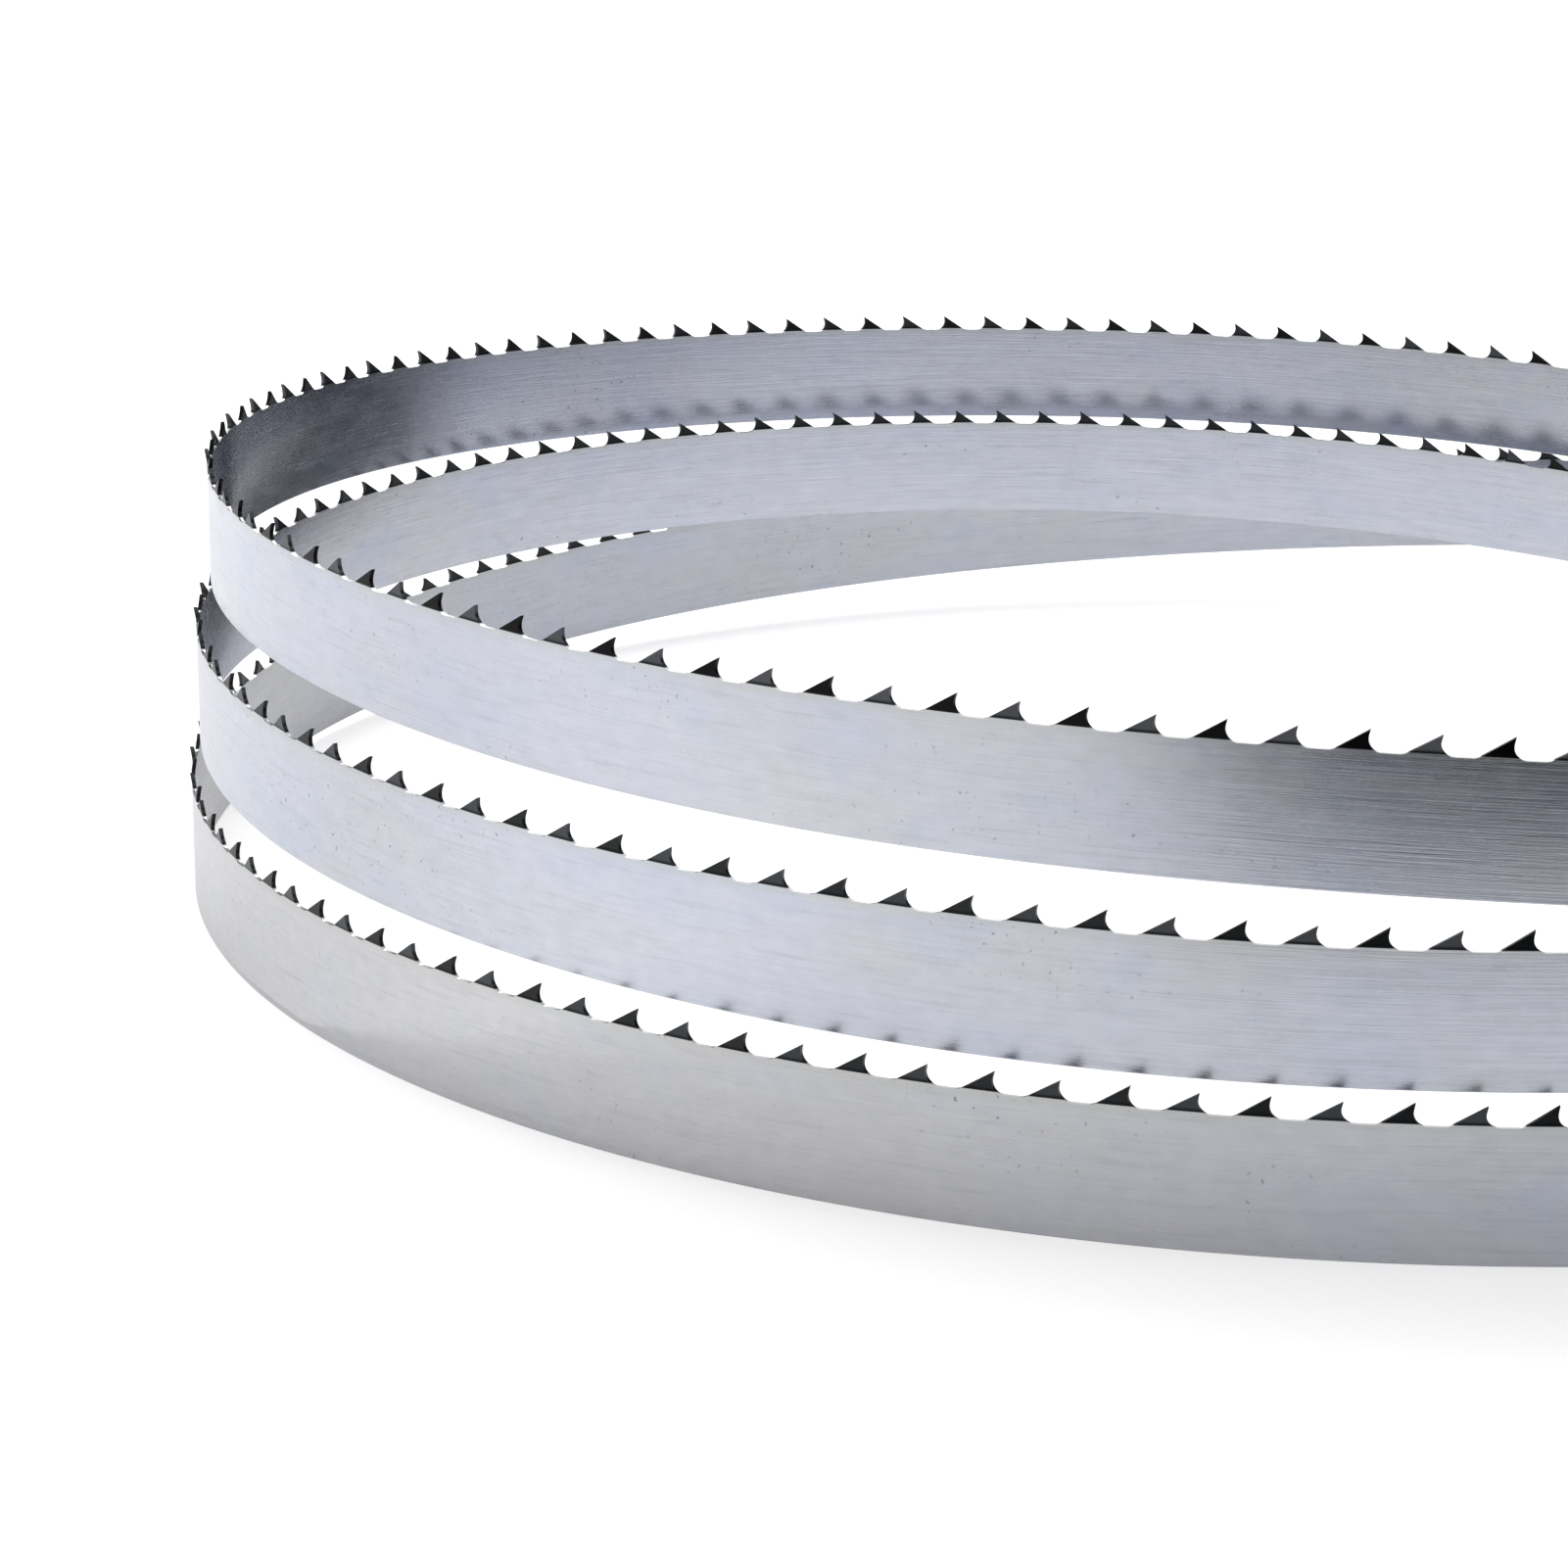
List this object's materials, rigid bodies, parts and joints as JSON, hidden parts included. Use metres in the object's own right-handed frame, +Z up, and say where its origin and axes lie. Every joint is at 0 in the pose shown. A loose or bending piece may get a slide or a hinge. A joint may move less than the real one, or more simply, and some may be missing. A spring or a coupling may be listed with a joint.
{
  "type": "band saw blade",
  "caption": "Endless toothed steel strip for a band saw, lying coiled with its back edge down and its teeth up.",
  "frame": {"origin": "middle of the coil's outline, at the level of the surface that it lies on", "axes": "+Z up, from the back edge to the teeth; +X to the right and -Y to the front of the picture"},
  "size_m": [0.3768, 0.3892, 0.0673],
  "materials": {
    "blade": "satin steel, ground lengthwise, with darker set teeth"
  },
  "bodies": {
    "root": {"blade": "blade"}
  },
  "joints": []
}
